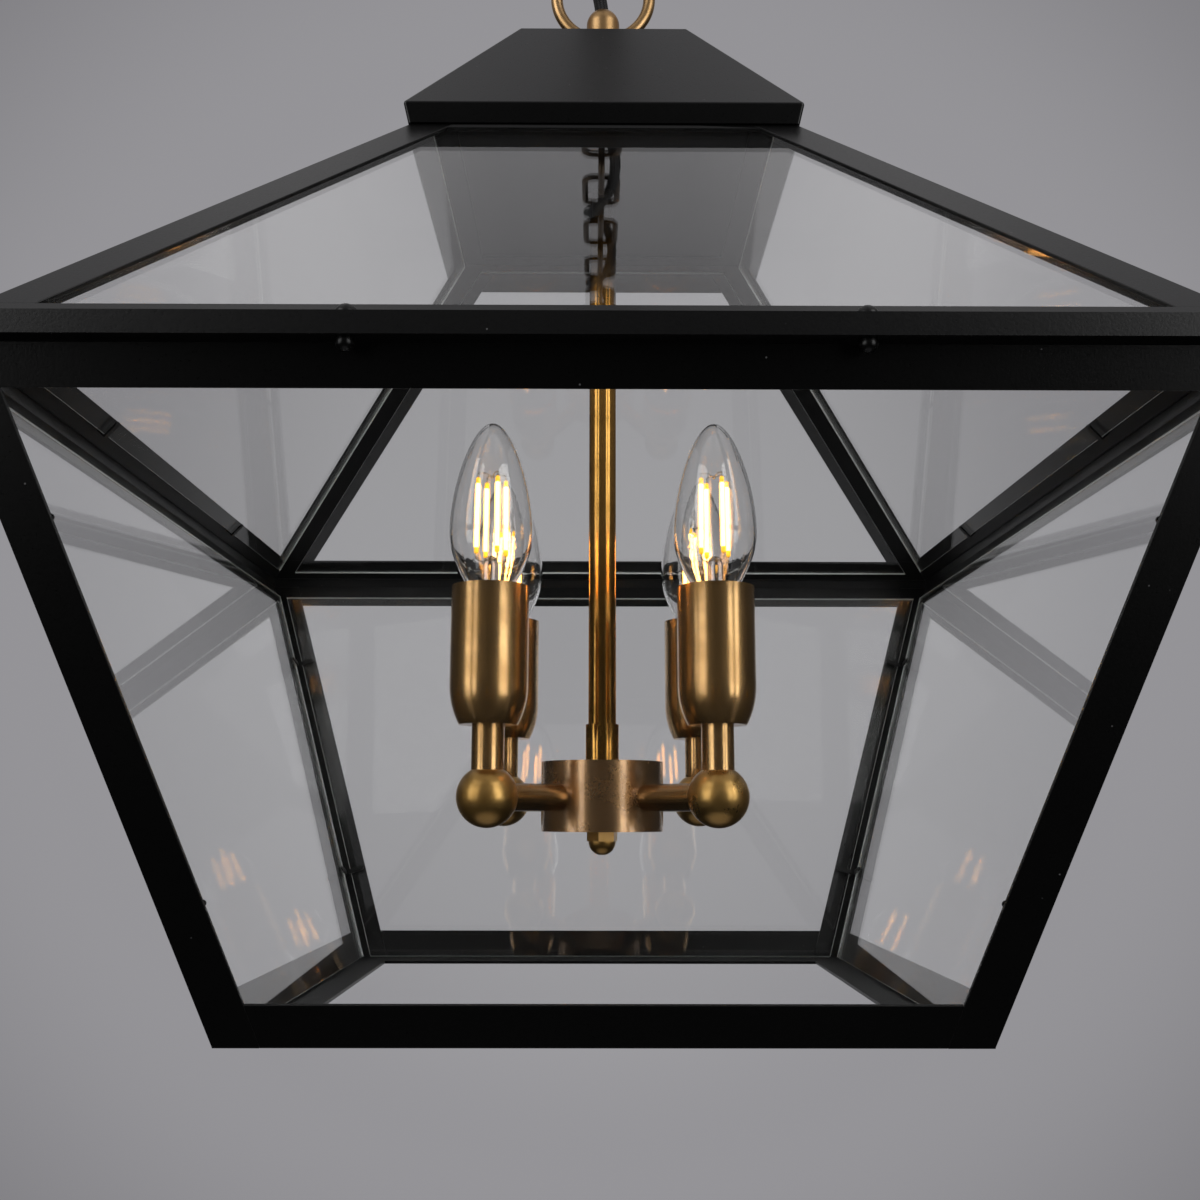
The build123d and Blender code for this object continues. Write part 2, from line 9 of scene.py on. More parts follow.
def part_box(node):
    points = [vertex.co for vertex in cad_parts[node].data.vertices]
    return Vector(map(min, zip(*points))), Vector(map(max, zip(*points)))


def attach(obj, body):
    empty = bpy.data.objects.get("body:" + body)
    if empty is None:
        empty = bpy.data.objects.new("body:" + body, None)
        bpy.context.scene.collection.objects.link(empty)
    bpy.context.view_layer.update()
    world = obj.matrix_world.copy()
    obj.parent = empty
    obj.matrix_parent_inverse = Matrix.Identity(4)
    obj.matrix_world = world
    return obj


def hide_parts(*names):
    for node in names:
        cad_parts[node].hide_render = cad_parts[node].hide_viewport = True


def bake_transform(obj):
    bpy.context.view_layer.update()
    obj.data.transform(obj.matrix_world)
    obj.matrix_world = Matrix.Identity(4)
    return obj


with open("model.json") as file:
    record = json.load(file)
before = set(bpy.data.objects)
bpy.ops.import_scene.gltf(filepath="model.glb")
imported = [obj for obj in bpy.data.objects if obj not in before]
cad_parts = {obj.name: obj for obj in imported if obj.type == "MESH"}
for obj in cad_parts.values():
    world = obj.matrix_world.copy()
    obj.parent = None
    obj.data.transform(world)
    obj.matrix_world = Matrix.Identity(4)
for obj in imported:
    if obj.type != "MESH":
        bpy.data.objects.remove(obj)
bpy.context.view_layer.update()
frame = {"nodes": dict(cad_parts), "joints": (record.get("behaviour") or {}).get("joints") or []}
nodes = frame["nodes"]
scene = bpy.context.scene

# Hanging lantern: a glazed black steel cage and roof, with four candle lamps on a brass cluster,
# on a bronze chain with a braided flex wound down it. Metres, +Z up, the ceiling at z = 0.
MM = 0.001
lantern_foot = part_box("cage_posts")[0].z
link_count = sum(name.startswith("chain_link_") for name in nodes)
bulb_count = sum(name.startswith("bulb_glass_") for name in nodes)

# Where the camera stands, from the middle of the lantern's foot
eye = Vector((-3.4, -552.2, 75.0)) * MM + Vector((0, 0, lantern_foot))
eye_yaw = math.radians(0.243)
eye_pitch = math.radians(9.851)
eye_roll = math.radians(0.088)
film_width = 36.0
lens_length = 37.23
nearest_seen = 10 * MM

# The flex: its line passes a point beside the middle and the foot of every link
flex_diameter = 6.6 * MM
wrap_radius = 9.0 * MM
ring_wrap_radius = 12.0 * MM
flex_entry = 10.0 * MM
flex_exit = 3.0 * MM
boss_height = 35.0 * MM
link_wire = 3.8 * MM
flex_sides = 20
flex_steps = 10
quarter_turn = 90
braid_carriers = 12
braid_pitch = 11.0 * MM
same_height = 1e-7
same_place = 1e-7

# Screw cap of a candle bulb, from its contact up
cap_radius = 6.8 * MM
cap_height = 23.8 * MM
cap_rim = 0.4 * MM
cap_sides = 48
contact_radius = 3.5 * MM
contact_flat = 0.6 * contact_radius
contact_edge = 0.6 * MM
contact_height = 2.5 * MM
thread_pitch = 2.82 * MM
thread_turns = 5
thread_relief = 0.55 * MM
thread_start = 5.0 * MM
thread_points = 10
insulator_radius = cap_radius - 1.4 * MM
insulator_head = thread_start - 1.2 * MM

# Glass stem on the cap
stem_foot_radius = 5.6 * MM
stem_radius = 3.3 * MM
stem_height = 41.0 * MM
stem_flange = 1.5 * MM
stem_flare = 0.9 * MM
stem_flare_height = 4 * MM
stem_neck_height = 8 * MM
stem_pinch = 4 * MM
stem_shoulder = 1 * MM
stem_shoulder_radius = 0.8 * stem_radius
stem_head_radius = 0.45 * stem_radius
stem_sides = 32

# Filament strips and their wires
strip_foot = 41.8 * MM
strip_length = 32.0 * MM
strip_radius = 0.95 * MM
strip_tip_radius = 0.8 * strip_radius
strip_end = 2.4 * MM
strip_end_edge = 0.4 * MM
strip_foot_ring = 6.6 * MM
strip_head_ring = 6.2 * MM
strip_turn = math.radians(-19.0)
strips_per_bulb = 4
strip_sides = 16
core_radius = 0.92 * strip_radius
core_edge = 0.3 * MM
sleeve_radius = 1.25 * MM
sleeve_taper = 0.8 * MM
pin_radius = 0.3 * MM
pin_length = 2.2 * MM
wire_radius = 0.22 * MM
wire_sides = 8
wire_ball_rings = 6
wire_root_depth = 1.5 * MM
wire_dip = 0.9 * MM
wire_rise = 0.8 * MM
wire_bend = 0.55
foot_weld = 1.2 * MM
head_weld = 0.6 * MM
crown_rise = 1.2 * MM
crown_bead_radius = 0.7 * MM
crown_bead_sides = 12
crown_bead_rings = 8

# Sheet and panes: rounded folds, how level a dusty face is, how square to the pane its faces are
fold_radius = 0.35 * MM
fold_angle = math.radians(32)
weld_reach = 0.002 * MM
dusty_level = 0.7
pane_square = 0.9

# Studio. Each softbox has an azimuth in degrees, a width and a power
lamp_middle = Vector((0, 0, lantern_foot + 120 * MM))
floor_height = -2.3
floor_radius = 5.0
floor_sides = 96
floor_fade = (0.25 * floor_radius, 0.95 * floor_radius)
softbox_height = 1.75
softbox_distance = 1.6
softbox_elevation = math.radians(19)
softbox_sides = {"softbox_left": (-50, 0.98, 12.8), "softbox_right": (47, 0.85, 13.5)}
pool_direction = (0, 0.985, 0.171)


class Wire:
    """One shader socket. Arithmetic on wires adds the Math nodes that work it out."""

    def __init__(self, finish, socket):
        self.finish = finish
        self.socket = socket

    def work(self, operation, *others):
        values = dict(enumerate((self,) + others))
        return self.finish.node("ShaderNodeMath", {"operation": operation}, values)

    def reflected(self, operation, other):
        return self.finish.node("ShaderNodeMath", {"operation": operation}, {0: other, 1: self})

    def __add__(self, other):
        return self.work("ADD", other)

    def __radd__(self, other):
        return self.work("ADD", other)

    def __sub__(self, other):
        return self.work("SUBTRACT", other)

    def __rsub__(self, other):
        return self.reflected("SUBTRACT", other)

    def __mul__(self, other):
        return self.work("MULTIPLY", other)

    def __rmul__(self, other):
        return self.work("MULTIPLY", other)


class Finish:
    """A node tree. One method adds any node, from its type, settings and sockets."""

    def __init__(self, owner):
        owner.use_nodes = True
        self.owner = owner
        self.tree = owner.node_tree
        self.tree.nodes.clear()

    def node(self, kind, settings, sockets, output=0):
        made = self.tree.nodes.new(kind)
        for name, value in settings.items():
            setattr(made, name, value)
        for key, value in sockets.items():
            if isinstance(value, Wire):
                self.tree.links.new(value.socket, made.inputs[key])
            else:
                made.inputs[key].default_value = value
        return Wire(self, made.outputs[output]) if made.outputs else None

    def place(self, kind="Object"):
        """Texture coordinates."""
        return self.node("ShaderNodeTexCoord", {}, {}, kind)

    def axis(self, vector, letter):
        """One coordinate of a vector."""
        return self.node("ShaderNodeSeparateXYZ", {}, {0: vector}, letter)

    def ray(self, fact):
        """What the Light Path node tells about the ray."""
        return self.node("ShaderNodeLightPath", {}, {}, fact)

    def noise(self, size, detail=2.0, stretch=(1, 1, 1)):
        """Cloudy value, with blotches of about this size in metres."""
        spread = self.node("ShaderNodeMapping", {}, {"Vector": self.place(), "Scale": stretch})
        sockets = {"Vector": spread, "Scale": 1 / size, "Detail": detail}
        return self.node("ShaderNodeTexNoise", {}, sockets)

    def fade(self, value, low, high):
        """0 below low, 1 above high, smooth between."""
        settings = {"interpolation_type": "SMOOTHSTEP"}
        return self.node("ShaderNodeMapRange", settings, {0: value, 1: low, 2: high})

    def mix(self, amount, first, second):
        """From the first colour to the second."""
        settings = {"data_type": "RGBA"}
        sockets = {0: amount, 6: colour(first), 7: colour(second)}
        return self.node("ShaderNodeMix", settings, sockets, 2)

    def bump(self, height, depth):
        """Normal for a height of 0 to 1 that stands for a depth in metres."""
        return self.node("ShaderNodeBump", {}, {"Strength": 1.0, "Distance": depth, "Height": height})

    def principled(self, sockets):
        return self.node("ShaderNodeBsdfPrincipled", {}, sockets)

    def blend(self, amount, first, second):
        """From the first shader to the second."""
        return self.node("ShaderNodeMixShader", {}, {0: amount, 1: first, 2: second})

    def show(self, shader, kind="ShaderNodeOutputMaterial"):
        self.node(kind, {}, {"Surface": shader})
        return self.owner


def colour(value):
    """A wire as it is, or three numbers as an opaque colour."""
    return value if isinstance(value, Wire) else (*value[:3], 1.0)


def new_finish(name):
    return Finish(bpy.data.materials.new(name))


def black_coat(name, satin):
    """Black powder coat: fine orange peel, a little dust."""
    finish = new_finish(name)
    cloud = finish.noise(50 * MM, 3.0)
    peel = finish.noise(0.8 * MM)
    sockets = {"Vector": finish.place(), "Scale": 110.0}
    specks = finish.node("ShaderNodeTexVoronoi", {}, sockets, "Distance")
    dust = 1 - finish.fade(specks, 0.020, 0.045)
    coat = finish.mix(cloud, (0.0006, 0.0006, 0.0006), (0.0013, 0.0013, 0.0013))
    return finish.show(finish.principled({
        "Base Color": finish.mix(dust * 0.7, coat, (0.10, 0.10, 0.10)),
        "Roughness": satin + 0.12 * peel,
        "Specular IOR Level": 0.28,
        "Normal": finish.bump(peel, 0.03 * MM),
    }))


def aged_brass(name, bright, dull, dark, satin, lacquer):
    """Satin brass that has gone brown in cloudy patches, with fine dark pits, under clear lacquer."""
    finish = new_finish(name)
    patina = finish.fade(finish.noise(16 * MM), 0.30, 0.72)
    grain = finish.noise(0.8 * MM, 1.0)
    pits = finish.fade(finish.noise(1.2 * MM, 1.0), 0.58, 0.78)
    metal = finish.mix(patina, bright, dull)
    return finish.show(finish.principled({
        "Base Color": finish.mix(pits * 0.22, metal, dark),
        "Metallic": 1.0,
        "Roughness": satin + 0.04 * grain + 0.06 * patina,
        "Coat Weight": lacquer,
        "Coat Roughness": 0.10,
        "Normal": finish.bump(grain, 0.006 * MM),
    }))


def plated_metal(name, bright, dull, satin):
    """Plated or blackened metal with faint blotches and fine scratches."""
    finish = new_finish(name)
    blotch = finish.fade(finish.noise(6 * MM, 4.0), 0.35, 0.70)
    grain = finish.noise(0.6 * MM, stretch=(1, 1, 0.2))
    return finish.show(finish.principled({
        "Base Color": finish.mix(blotch, bright, dull),
        "Metallic": 1.0,
        "Roughness": satin + 0.12 * grain,
        "Normal": finish.bump(grain, 0.02 * MM),
    }))


def clear_glass(name, tint):
    """Clear, slightly wavy glass that lets light through to what stands behind it."""
    finish = new_finish(name)
    wave = finish.noise(90 * MM, 1.0)
    glass = finish.principled({
        "Base Color": colour(tint),
        "Roughness": 0.0,
        "IOR": 1.5,
        "Transmission Weight": 1.0,
        "Normal": finish.bump(wave, 0.02 * MM),
    })
    through = finish.node("ShaderNodeBsdfTransparent", {}, {"Color": colour(tint)})
    return finish.show(finish.blend(finish.ray("Is Shadow Ray"), glass, through))


def ground_edge():
    """The panes' ground edges: frosted and pale green."""
    finish = new_finish("ground_glass_edge")
    grain = finish.noise(0.9 * MM)
    return finish.show(finish.principled({
        "Base Color": finish.mix(grain, (0.42, 0.45, 0.44), (0.60, 0.63, 0.62)),
        "Roughness": 0.35 + 0.2 * grain,
        "Transmission Weight": 0.35,
        "Normal": finish.bump(grain, 0.05 * MM),
    }))


def moulded_plastic():
    """Black plastic of the lampholders, finely textured."""
    finish = new_finish("black_holder_plastic")
    grain = finish.noise(0.7 * MM)
    return finish.show(finish.principled({
        "Base Color": finish.mix(grain, (0.012, 0.012, 0.012), (0.020, 0.020, 0.020)),
        "Roughness": 0.45 + 0.15 * grain,
        "Normal": finish.bump(grain, 0.04 * MM),
    }))


def braided_cotton():
    """Black braid: two sets of yarns crossing over and under, on the flex's own UV map."""
    finish = new_finish("black_braid")
    spot = finish.place("UV")
    round_flex = finish.axis(spot, "X") * braid_carriers
    down_flex = finish.axis(spot, "Y") * braid_carriers
    right = round_flex + down_flex
    left = round_flex - down_flex
    over = (right.work("FLOOR") + left.work("FLOOR")).work("PINGPONG", 1.0)
    right_yarn = (right.work("FRACT") - 0.5).work("ABSOLUTE")
    left_yarn = (left.work("FRACT") - 0.5).work("ABSOLUTE")
    height = 1 - 2 * (over * right_yarn + (1 - over) * left_yarn)
    fibre = finish.noise(0.4 * MM)
    # Painted shade: the yarn's colour is darker where the yarn lies low, in the grooves between the
    # crossing yarns and under them
    yarn = finish.mix(height, (0.002, 0.002, 0.002), (0.011, 0.011, 0.012))
    return finish.show(finish.principled({
        "Base Color": finish.mix(fibre * 0.3, yarn, (0.025, 0.025, 0.026)),
        "Roughness": 0.72 + 0.15 * fibre,
        "Specular IOR Level": 0.30,
        "Sheen Weight": 0.06,
        "Normal": finish.bump(height + 0.3 * fibre, 0.5 * MM),
    }))


def glowing_strip():
    """The lit part of a filament strip: white hot, a little warmer in places."""
    finish = new_finish("filament_glow")
    beads = finish.noise(1.2 * MM, 1.0)
    return finish.show(finish.principled({
        "Base Color": colour((1.0, 0.75, 0.35)),
        "Roughness": 0.6,
        "Emission Color": finish.mix(beads, (1.0, 0.48, 0.13), (1.0, 0.58, 0.20)),
        "Emission Strength": 10.0,
    }))


def strip_sleeve():
    """The thin clear yellow sleeve round a strip, lit by the strip inside it."""
    finish = new_finish("filament_sleeve")
    grain = finish.noise(1.0 * MM)
    return finish.show(finish.principled({
        "Base Color": finish.mix(grain, (0.95, 0.60, 0.12), (1.0, 0.70, 0.20)),
        "Roughness": 0.3,
        "Alpha": 0.45,
        "Emission Color": colour((1.0, 0.60, 0.18)),
        "Emission Strength": 1.6,
    }))


def strip_end_coat():
    """The yellow coat on a strip's ends, lit from beside."""
    finish = new_finish("filament_end")
    grain = finish.noise(0.8 * MM)
    return finish.show(finish.principled({
        "Base Color": finish.mix(grain, (0.90, 0.50, 0.02), (1.0, 0.62, 0.04)),
        "Roughness": 0.55,
        "Emission Color": colour((1.0, 0.50, 0.02)),
        "Emission Strength": 0.8,
    }))


black = black_coat("black_powder_coat", 0.24)
dusty_black = black_coat("dusty_powder_coat", 0.50)
brass = aged_brass(
    "antique_brass", (0.54, 0.325, 0.130), (0.385, 0.220, 0.078), (0.15, 0.08, 0.024), 0.18, 0.4
)
ball_brass = aged_brass(
    "ball_brass", (0.53, 0.315, 0.098), (0.38, 0.215, 0.058), (0.15, 0.08, 0.020), 0.25, 0.2
)
rod_brass = aged_brass(
    "rod_brass", (0.56, 0.30, 0.075), (0.37, 0.185, 0.040), (0.14, 0.065, 0.015), 0.12, 0.0
)
bronze = aged_brass(
    "hub_bronze", (0.44, 0.265, 0.130), (0.32, 0.185, 0.085), (0.13, 0.07, 0.030), 0.20, 0.8
)
cast_brass = aged_brass(
    "cast_brass", (0.50, 0.315, 0.150), (0.35, 0.213, 0.090), (0.15, 0.08, 0.030), 0.30, 0.0
)
chain_bronze = plated_metal("chain_bronze", (0.11, 0.080, 0.055), (0.050, 0.037, 0.027), 0.34)
dark_zinc = plated_metal("dark_passivated_zinc", (0.085, 0.070, 0.055), (0.045, 0.037, 0.030), 0.36)
nickel = plated_metal("nickel", (0.66, 0.63, 0.57), (0.52, 0.49, 0.44), 0.18)
pane_glass = clear_glass("clear_float_glass", (0.992, 0.996, 0.994))
bulb_glass = clear_glass("clear_bulb_glass", (0.995, 0.992, 0.985))
pane_edge = ground_edge()
holder = moulded_plastic()
braid = braided_cotton()
glow = glowing_strip()
sleeve = strip_sleeve()
strip_yellow = strip_end_coat()


def upward(distance):
    """Step straight up."""
    return Vector((0, 0, distance))


def new_piece(name, shape, *materials):
    """Finish a bmesh as an object whose place is in its mesh."""
    mesh = bpy.data.meshes.new(name)
    shape.to_mesh(mesh)
    shape.free()
    for material in materials:
        mesh.materials.append(material)
    piece = bpy.data.objects.new(name, mesh)
    scene.collection.objects.link(piece)
    return piece


def linked_verts(start):
    """Every vertex that edges join to these."""
    found = set(start)
    to_visit = list(start)
    while to_visit:
        vert = to_visit.pop()
        for edge in vert.link_edges:
            other = edge.other_vert(vert)
            if other not in found:
                found.add(other)
                to_visit.append(other)
    return found


def turn_profile(shape, profile, steps, place):
    """Spin points (radius, height) about the Z axis, then move the result into place."""
    points = [shape.verts.new((radius, 0, height)) for radius, height in profile]
    edges = [shape.edges.new(pair) for pair in zip(points, points[1:])]
    bmesh.ops.spin(
        shape, geom=points + edges, cent=(0, 0, 0), axis=(0, 0, 1),
        angle=2 * math.pi, steps=steps, use_merge=True,
    )
    turned = linked_verts(points)
    bmesh.ops.remove_doubles(shape, verts=list(turned), dist=same_place)
    turned = [vert for vert in turned if vert.is_valid]
    faces = list({face for vert in turned for face in vert.link_faces})
    bmesh.ops.recalc_face_normals(shape, faces=faces)
    for face in faces:
        face.smooth = True
    bmesh.ops.transform(shape, matrix=place, verts=turned)
    return faces


def along(start, end):
    """Matrix that stands a shape drawn up the Z axis on start, pointing at end."""
    turn = (end - start).to_track_quat("Z", "Y").to_matrix().to_4x4()
    return Matrix.Translation(start) @ turn


def wire_run(shape, points, radius):
    """Thin round wire through a few points, with a ball at each corner."""
    for start, end in zip(points, points[1:]):
        length = (end - start).length
        middle = along(start, end) @ Matrix.Translation(upward(length / 2))
        made = bmesh.ops.create_cone(
            shape, cap_ends=True, segments=wire_sides,
            radius1=radius, radius2=radius, depth=length, matrix=middle,
        )
        for vert in made["verts"]:
            for face in vert.link_faces:
                face.smooth = len(face.verts) == 4
    for corner in points[1:-1]:
        bmesh.ops.create_uvsphere(
            shape, u_segments=wire_sides, v_segments=wire_ball_rings,
            radius=radius, matrix=Matrix.Translation(corner),
        )


def link_boxes():
    """Lower and upper corner of every chain link, from the ceiling down."""
    return [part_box(f"chain_link_{number + 1}") for number in range(link_count)]


def flex_route():
    """The flex's points from the ceiling boss, a quarter turn round each link, to the lantern."""

    def around(radius, degrees, height):
        angle = math.radians(degrees)
        return Vector((radius * math.cos(angle), radius * math.sin(angle), height))

    links = link_boxes()
    ceiling_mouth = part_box("ceiling_plate")[0].z - boss_height
    lantern_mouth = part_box("roof_cap")[1].z + boss_height
    ceiling_contact = (links[0][1].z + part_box("ceiling_loop")[0].z) / 2
    route = [upward(ceiling_mouth + flex_entry), upward(ceiling_mouth - flex_exit)]
    route.append(around(ring_wrap_radius, -quarter_turn / 2, ceiling_contact))
    for index, (low, high) in enumerate(links):
        last = index == link_count - 1
        foot_radius = ring_wrap_radius if last else wrap_radius
        turn = quarter_turn * index
        route.append(around(wrap_radius, turn, (low.z + high.z) / 2))
        route.append(around(foot_radius, turn + quarter_turn / 2, low.z + link_wire))
    route += [upward(lantern_mouth + flex_exit), upward(lantern_mouth - flex_entry)]
    return route


def flex_line():
    """Points along the smooth line of the flex."""
    curve = bpy.data.curves.new("flex_line", "CURVE")
    curve.dimensions = "3D"
    curve.resolution_u = flex_steps
    route = flex_route()
    spline = curve.splines.new("NURBS")
    spline.points.add(len(route) - 1)
    for point, place in zip(spline.points, route):
        point.co = (*place, 1.0)
    spline.order_u = 3
    spline.use_endpoint_u = True
    line = bpy.data.objects.new("flex_line", curve)
    mesh = bpy.data.meshes.new_from_object(line)
    points = [vert.co.copy() for vert in mesh.vertices]
    bpy.data.objects.remove(line)
    bpy.data.meshes.remove(mesh)
    return points


def cut_line(points, heights):
    """The line with a point added at each of these heights."""
    cut = [points[0]]
    for start, end in zip(points, points[1:]):
        for height in heights:
            if end.z < height < start.z:
                cut.append(start.lerp(end, (start.z - height) / (start.z - end.z)))
        cut.append(end)
    return cut


def line_facts(points):
    """The direction at each point of a line, and its distance from the start."""
    ahead = points[1:] + [2 * points[-1] - points[-2]]
    behind = [2 * points[0] - points[1]] + points[:-1]
    tangents = [(after - before).normalized() for after, before in zip(ahead, behind)]
    lengths = [0.0]
    for start, end in zip(points, points[1:]):
        lengths.append(lengths[-1] + (end - start).length)
    return tangents, lengths


def flex_tube(name, points, tangents, lengths):
    """Round tube through the points, with a UV map across and along it for the braid."""
    shape = bmesh.new()
    uv = shape.loops.layers.uv.new("UVMap")
    rings = []
    mark = {}
    for point, tangent, length in zip(points, tangents, lengths):
        side = (Vector((1, 0, 0)) - tangent * tangent.x).normalized()
        turn = Matrix((side, tangent.cross(side), tangent)).transposed().to_4x4()
        place = Matrix.Translation(point) @ turn
        made = bmesh.ops.create_circle(
            shape, segments=flex_sides, radius=flex_diameter / 2, matrix=place
        )
        for count, vert in enumerate(made["verts"]):
            mark[vert] = (count / flex_sides, length / braid_pitch)
        rings.append(list({edge for vert in made["verts"] for edge in vert.link_edges}))
    for ring, after in zip(rings, rings[1:]):
        bmesh.ops.bridge_loops(shape, edges=ring + after)
    for face in shape.faces:
        face.smooth = True
        turns = [mark[loop.vert][0] for loop in face.loops]
        seam = max(turns) - min(turns) > 0.5
        for loop, turn in zip(face.loops, turns):
            across = turn + 1 if seam and turn < 0.5 else turn
            loop[uv].uv = (across, mark[loop.vert][1])
    for ring in (rings[0], rings[-1]):
        bmesh.ops.edgeloop_fill(shape, edges=ring)
        for edge in ring:
            edge.smooth = False
    bmesh.ops.recalc_face_normals(shape, faces=shape.faces)
    piece = new_piece(name, shape, braid)
    return piece


def make_flex():
    """The flex in stretches, one across each joint of the chain, cut at the links' middles."""
    joints = [joint for joint in frame["joints"] if joint["type"] == "hinge"]
    cuts = [(low.z + high.z) / 2 for low, high in link_boxes()]
    points = cut_line(flex_line(), cuts)
    tangents, lengths = line_facts(points)
    ends = [points[0].z] + cuts + [points[-1].z]
    for index, joint in enumerate(joints):
        high = ends[index] + same_height
        low = ends[index + 1] - same_height
        chosen = [count for count, point in enumerate(points) if low <= point.z <= high]
        first, last = chosen[0], chosen[-1] + 1
        path = points[first:last]
        piece = flex_tube(f"flex_{index + 1}", path, tangents[first:last], lengths[first:last])
        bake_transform(piece)
        length = lengths[last - 1] - lengths[first]
        if index == 0:
            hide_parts("flex")


def bulb_cap(number, axis):
    """Screw cap: a pip of a contact, an insulator and a rolled thread under a plain collar."""
    profile = [(0, 0), (contact_flat, 0), (contact_radius, contact_edge)]
    profile += [(contact_radius, contact_height), (insulator_radius, insulator_head)]
    for step in range(thread_points * thread_turns + 1):
        turns = step / thread_points
        groove = 0.5 - 0.5 * math.cos(2 * math.pi * turns)
        profile.append((cap_radius - thread_relief * groove, thread_start + turns * thread_pitch))
    profile += [(cap_radius, cap_height - cap_rim), (cap_radius - cap_rim, cap_height), (0, cap_height)]
    shape = bmesh.new()
    turn_profile(shape, profile, cap_sides, Matrix.Translation(axis))
    piece = new_piece(f"bulb_{number}_cap", shape, nickel)
    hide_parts(f"bulb_base_{number}")
    return piece


def bulb_stem(number, axis):
    """Flared glass stem, narrowed at its head where the wires are sealed in."""
    profile = [
        (0, cap_height),
        (stem_foot_radius, cap_height),
        (stem_foot_radius, cap_height + stem_flange),
        (stem_radius + stem_flare, cap_height + stem_flare_height),
        (stem_radius, cap_height + stem_neck_height),
        (stem_radius, stem_height - stem_pinch),
        (stem_shoulder_radius, stem_height - stem_shoulder),
        (stem_head_radius, stem_height),
        (0, stem_height),
    ]
    shape = bmesh.new()
    turn_profile(shape, profile, stem_sides, Matrix.Translation(axis))
    piece = new_piece(f"bulb_{number}_stem", shape, bulb_glass)
    return piece


def strip_ends(axis, arm_angle):
    """Foot and head of each filament strip in a bulb whose arm points this way."""
    ends = []
    for count in range(strips_per_bulb):
        angle = arm_angle + strip_turn + count * 2 * math.pi / strips_per_bulb
        out = Vector((math.cos(angle), math.sin(angle), 0))
        foot = axis + out * strip_foot_ring + upward(strip_foot)
        head = axis + out * strip_head_ring + upward(strip_foot + strip_length)
        ends.append((foot, head))
    return ends


def mirrored_profile(profile, length):
    """A half profile, and its mirror image up to this length."""
    return profile + [(radius, length - height) for radius, height in reversed(profile)]


def bulb_strips(number, axis, arm_angle):
    """Filament strips: a glowing core in a sleeve, with a yellow end and a steel pin at each end."""
    shape = bmesh.new()
    lit_length = strip_length - 2 * strip_end
    core = mirrored_profile([(0, 0), (strip_tip_radius, 0), (core_radius, core_edge)], lit_length)
    cover = mirrored_profile([(strip_radius, 0), (sleeve_radius, sleeve_taper)], lit_length)
    end = [(0, 0), (strip_tip_radius, 0), (strip_radius, strip_end_edge), (strip_radius, strip_end)]
    end.append((0, strip_end))
    pin = [(0, 0), (pin_radius, 0), (pin_radius, pin_length), (0, pin_length)]
    for foot, head in strip_ends(axis, arm_angle):
        up = (head - foot).normalized()
        parts = [
            (core, foot + up * strip_end, head, 0),
            (cover, foot + up * strip_end, head, 3),
            (end, foot, head, 1),
            (end, head, foot, 1),
            (pin, foot - up * pin_length, head, 2),
            (pin, head, head + up, 2),
        ]
        for profile, start, toward, material in parts:
            for face in turn_profile(shape, profile, strip_sides, along(start, toward)):
                face.material_index = material
    return new_piece(f"bulb_{number}_filaments", shape, glow, strip_yellow, nickel, sleeve)


def bulb_wires(number, axis, arm_angle):
    """Lead wires from the stem to the strips' feet, and the spider that joins their heads."""
    shape = bmesh.new()
    root = axis + upward(stem_height - wire_root_depth)
    crown = axis + upward(strip_foot + strip_length + crown_rise)
    for foot, head in strip_ends(axis, arm_angle):
        up = (head - foot).normalized()
        low = foot - up * pin_length
        high = head + up * pin_length
        elbow = root.lerp(Vector((low.x, low.y, root.z)), wire_bend) - upward(wire_dip)
        knee = high.lerp(crown, wire_bend) + upward(wire_rise)
        wire_run(shape, [root, elbow, low, low + up * foot_weld], wire_radius)
        wire_run(shape, [high - up * head_weld, high, knee, crown], wire_radius)
    bmesh.ops.create_uvsphere(
        shape, u_segments=crown_bead_sides, v_segments=crown_bead_rings,
        radius=crown_bead_radius, matrix=Matrix.Translation(crown),
    )
    piece = new_piece(f"bulb_{number}_wires", shape, nickel)
    return piece


def make_bulbs():
    """What is inside each bulb's glass, and its screw cap."""
    for number in range(1, bulb_count + 1):
        low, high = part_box(f"bulb_glass_{number}")
        axis = (low + high) / 2
        axis.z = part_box(f"bulb_base_{number}")[0].z
        arm_angle = math.atan2(axis.y, axis.x)
        pieces = [bulb_cap(number, axis), bulb_stem(number, axis)]
        pieces += [bulb_strips(number, axis, arm_angle), bulb_wires(number, axis, arm_angle)]
        for piece in pieces:
            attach(piece, f"bulb_{number}")


def dress(material, *names):
    """Give CAD nodes their finish."""
    for name in names:
        mesh = nodes[name].data
        mesh.materials.clear()
        mesh.materials.append(material)


def soften(*names):
    """Round the sharp edges of folded sheet a little."""
    for name in names:
        weld = nodes[name].modifiers.new("weld", "WELD")
        weld.merge_threshold = weld_reach
        bevel = nodes[name].modifiers.new("edges", "BEVEL")
        bevel.width = fold_radius
        bevel.segments = 2
        bevel.limit_method = "ANGLE"
        bevel.angle_limit = fold_angle
        bevel.harden_normals = True


def dress_pane(name):
    """Clear faces, and ground edges all round."""
    dress(pane_glass, name)
    mesh = nodes[name].data
    mesh.materials.append(pane_edge)
    broad = max(mesh.polygons, key=lambda face: face.area).normal
    for face in mesh.polygons:
        face.material_index = 0 if abs(face.normal.dot(broad)) > pane_square else 1


def dress_sheet(name):
    """Powder coat, dulled by dust where it faces up."""
    dress(black, name)
    mesh = nodes[name].data
    mesh.materials.append(dusty_black)
    for face in mesh.polygons:
        face.material_index = 1 if face.normal.z > dusty_level else 0


